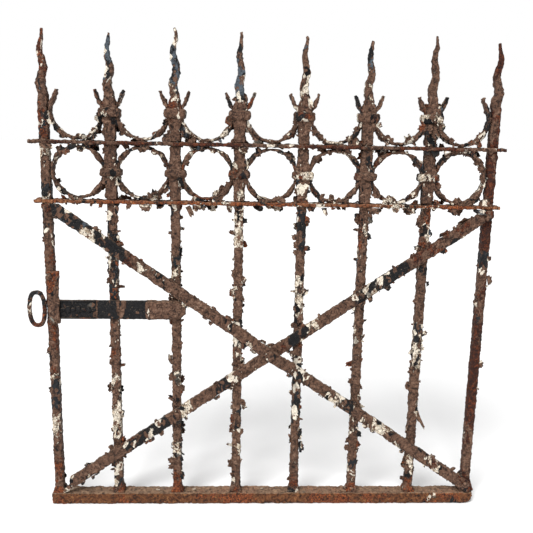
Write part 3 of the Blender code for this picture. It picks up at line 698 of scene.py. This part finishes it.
# ---- thick paint round the bars between the rails ------------------------------
def add_section(bm, x, z, width, depth):
    """One rectangular ring of a paint sleeve."""
    corners = ((-1, -1), (1, -1), (1, 1), (-1, 1))
    return [bm.verts.new((x + sx * width / 2, sy * depth / 2, z)) for sx, sy in corners]


def add_sleeve(bm, x, sections):
    """A closed sleeve through (height, width, depth) sections."""
    rings = [add_section(bm, x, *section) for section in sections]
    for a, b in zip(rings, rings[1:]):
        for n in range(4):
            bm.faces.new((a[n], a[(n + 1) % 4], b[(n + 1) % 4], b[n]))
    bm.faces.new(rings[0][::-1])
    bm.faces.new(rings[-1])


def add_sleeves():
    """Paint that has filled the corners between the bars, the rings and the scrolls."""
    lower, upper = RAIL_LOW[1][2], RAIL_HIGH[0][2]
    over = RAIL_HIGH[1][2]
    collar = SCROLL_FOOT + RING_RADIUS
    slim, full, deep = BAR_SIDE + 0.0045, 0.0300, BAR_SIDE + 0.0035
    for index, name in enumerate(INNER_BARS):
        bm = bmesh.new()
        x = BAR_X[name]
        around_ring = [(lower, slim, deep), (RING_MID_Z - 0.030, slim, deep),
                       (RING_MID_Z - 0.012, full, deep), (RING_MID_Z + 0.012, full, deep),
                       (RING_MID_Z + 0.030, slim, deep), (upper, slim, deep)]
        around_scroll = [(over, slim, deep), (collar - 0.030, slim, deep), (collar - 0.010, full, deep),
                         (collar + 0.018, full, deep), (collar + 0.028, 0.0235, 0.020),
                         (collar + 0.036, 0.018, 0.016)]
        add_sleeve(bm, x, around_ring)
        add_sleeve(bm, x, around_scroll)
        coat = weathered(f"{name}_sleeve_coat", 40 + index, 0.05, 0.05, 0.05, 0.2, 0.6)
        sleeve = new_piece(f"{name}_sleeve", bm, [coat])
        crusted(sleeve, 0.0018, 0.0055, 0.0032)


def add_tube(bm, points, radii, sides=6, deep=1.0):
    """A bead through points that all lie in one upright plane, so many times as deep as it is wide."""
    rings = []
    for n, (point, radius) in enumerate(zip(points, radii)):
        before, after = points[max(n - 1, 0)], points[min(n + 1, len(points) - 1)]
        run = (Vector(after) - Vector(before)).normalized()
        across = run.cross(Vector((0, 1, 0)))
        turns = [2 * math.pi * k / sides for k in range(sides)]
        rings.append([bm.verts.new(Vector(point) + across * radius * math.cos(a)
                                   + Vector((0, deep * radius * math.sin(a), 0))) for a in turns])
    for a, b in zip(rings, rings[1:]):
        for k in range(sides):
            bm.faces.new((a[k], a[(k + 1) % sides], b[(k + 1) % sides], b[k]))
    bm.faces.new(rings[0][::-1])
    bm.faces.new(rings[-1])


def add_arms():
    """Thick paint on the bands where they meet the verticals."""
    steps = 10
    for index, name in enumerate(RINGS):
        bm = bmesh.new()
        x, y, z = middle(name)
        crown = SCROLL_FOOT + STRIP / 2 + RING_RADIUS
        arcs = [(z, 18, 62), (z, 118, 162), (z, 198, 242), (z, 298, 342), (crown, 200, 246), (crown, 294, 340)]
        for height, start, end in arcs:
            turns = [math.radians(start + (end - start) * n / steps) for n in range(steps + 1)]
            points = [(x + RING_RADIUS * math.cos(a), y, height + RING_RADIUS * math.sin(a)) for a in turns]
            radii = [ARM_THICK * (0.6 + 0.4 * math.sin(math.pi * n / steps)) for n in range(steps + 1)]
            add_tube(bm, points, radii, 8, 2.1)
        coat = weathered(f"{name}_arm_coat", 80 + index, 0.16, 0.20, 0.08, 0.1, 0.5)
        crusted(new_piece(f"{name}_arms", bm, [coat]), 0.0018, 0.0052, 0.0032)


def add_feet():
    """Rusty lumps of weld where the verticals stand on the bottom rail."""
    bm = bmesh.new()
    top = BASE[1][2]
    for name in BARS:
        add_sleeve(bm, BAR_X[name], [(top - 0.002, 0.030, 0.028), (top + 0.003, 0.027, 0.025),
                                     (top + 0.014, BAR_SIDE + 0.001, BAR_SIDE + 0.001)])
    feet = new_piece("bar_feet", bm, [weathered("feet_coat", 60, 0.08, 0.05, 0.45, 0.1, 0.2, 0.6)])
    crusted(feet, 0.0018, 0.0060, 0.0034)


# ---- the lever's raised work and thick coat --------------------------------------
def add_lever_work():
    """A raised rim and a row of low bosses on the lever, and the thick coat left at its pivot end."""
    low, high = LEVER
    face = low[1] - 0.0002
    mid = (low[2] + high[2]) / 2
    half = (high[2] - low[2]) / 2
    bm = bmesh.new()
    start, end = ORNAMENT_SPAN
    for side in (-1, 1):
        edge = mid + side * (half - 0.0022)
        add_tube(bm, [(low[0] + 0.003, face, edge), (end, face, edge)], (0.0020, 0.0020))
    for n in range(BOSSES):
        x = start + (end - start) * (n + 0.5) / BOSSES
        flat = Matrix.Diagonal((1.0, 0.45, 1.35 if n % 2 else 0.7, 1.0))
        place = Matrix.Translation((x, face, mid)) @ flat
        bmesh.ops.create_icosphere(bm, subdivisions=2, radius=0.0058, matrix=place)
    for face_made in bm.faces:
        face_made.smooth = True
    work_coat = weathered("lever_work_coat", 61, 0.01, 0.92, 0.03, 0.0, 0.5, islands=0.0)
    new_piece("lever_work", bm, [work_coat], "latch")

    bm = bmesh.new()
    back = high[1]
    rings = []
    for x, tall, deep in ((-0.2530, 0.90, 0.0006), (-0.2500, 1.04, 0.0026), (-0.2430, 1.08, 0.0046),
                          (-0.2150, 1.05, 0.0046), (-0.1950, 0.99, 0.0040), (-0.1800, 0.82, 0.0034),
                          (high[0] + 0.0010, 0.45, 0.0012)):
        outline = ((0, -1.0), (-1, -0.86), (-1, 0.86), (0, 1.0))
        rings.append([bm.verts.new((x, back if not out else low[1] - deep, mid + half * tall * up))
                      for out, up in outline])
    for a, b in zip(rings, rings[1:]):
        for k in range(4):
            bm.faces.new((a[k], a[(k + 1) % 4], b[(k + 1) % 4], b[k]))
    bm.faces.new(rings[0][::-1])
    bm.faces.new(rings[-1])
    bmesh.ops.recalc_face_normals(bm, faces=bm.faces)
    sleeve_coat = weathered("lever_sleeve_coat", 62, 0.06, 0.05, 0.04, 0.1, 0.6, zone=zone_of("lever_sleeve"))
    crusted(new_piece("lever_sleeve", bm, [sleeve_coat], "latch"), 0.0013, 0.0046, 0.0022, 9, 0.0008)


# ---- floor, light and camera -----------------------------------------------
def add_floor():
    """A plain pale floor under the gate."""
    bm = bmesh.new()
    bmesh.ops.create_grid(bm, x_segments=1, y_segments=1, size=60)
    mesh = bpy.data.meshes.new("floor")
    bm.to_mesh(mesh)
    bm.free()
    floor = bpy.data.objects.new("floor", mesh)
    bpy.context.scene.collection.objects.link(floor)
    floor.location.z = -0.0005
    g = Graph("floor_paint")
    speckle = g.noise(3.0, 1, detail=2)
    g.put(g.shader.inputs["Base Color"], g.mix(speckle, hexed("f6f6f6"), hexed("fafafa")))
    g.shader.inputs["Roughness"].default_value = 0.95
    mesh.materials.append(g.material)


def add_sun(name, direction, strength, spread):
    """A very soft distant lamp that shines along a direction."""
    data = bpy.data.lights.new(name, "SUN")
    data.energy = strength
    data.angle = math.radians(spread)
    light = bpy.data.objects.new(name, data)
    bpy.context.scene.collection.objects.link(light)
    light.rotation_euler = Vector(direction).to_track_quat("-Z", "Y").to_euler()


def add_world():
    """A white studio: bright behind the gate, and softer as a light on it."""
    scene = bpy.context.scene
    world = bpy.data.worlds.new("studio")
    scene.world = world
    world.use_nodes = True
    nodes, links = world.node_tree.nodes, world.node_tree.links
    background = nodes["Background"]
    background.inputs["Color"].default_value = (1, 1, 1, 1)
    rays = nodes.new("ShaderNodeLightPath")
    strength = nodes.new("ShaderNodeMapRange")
    strength.inputs["To Min"].default_value = SKY_LIGHT
    strength.inputs["To Max"].default_value = 1.0
    links.new(rays.outputs["Is Camera Ray"], strength.inputs["Value"])
    links.new(strength.outputs[0], background.inputs["Strength"])
    scene.view_settings.view_transform = "Standard"


def add_camera():
    """A camera where the observer stood, a little above the rails and close to the gate."""
    data = bpy.data.cameras.new("camera")
    data.lens = CAMERA_LENS
    data.sensor_width = 36
    data.clip_start = 0.01
    camera = bpy.data.objects.new("camera", data)
    bpy.context.scene.collection.objects.link(camera)
    turn = Matrix.Rotation(math.radians(CAMERA_AZIMUTH), 4, "Z")
    turn @= Matrix.Rotation(math.radians(90 - CAMERA_ELEVATION), 4, "X")
    turn @= Matrix.Rotation(math.radians(CAMERA_ROLL), 4, "Z")
    camera.matrix_world = Matrix.Translation(CAMERA_PLACE) @ turn
    bpy.context.scene.camera = camera


dress_frame()
add_sleeves()
add_arms()
add_feet()
add_lever_work()
add_loose_paint()
add_floor()
add_world()
add_sun("key", KEY_DIRECTION, KEY_LIGHT, KEY_SPREAD)
add_camera()
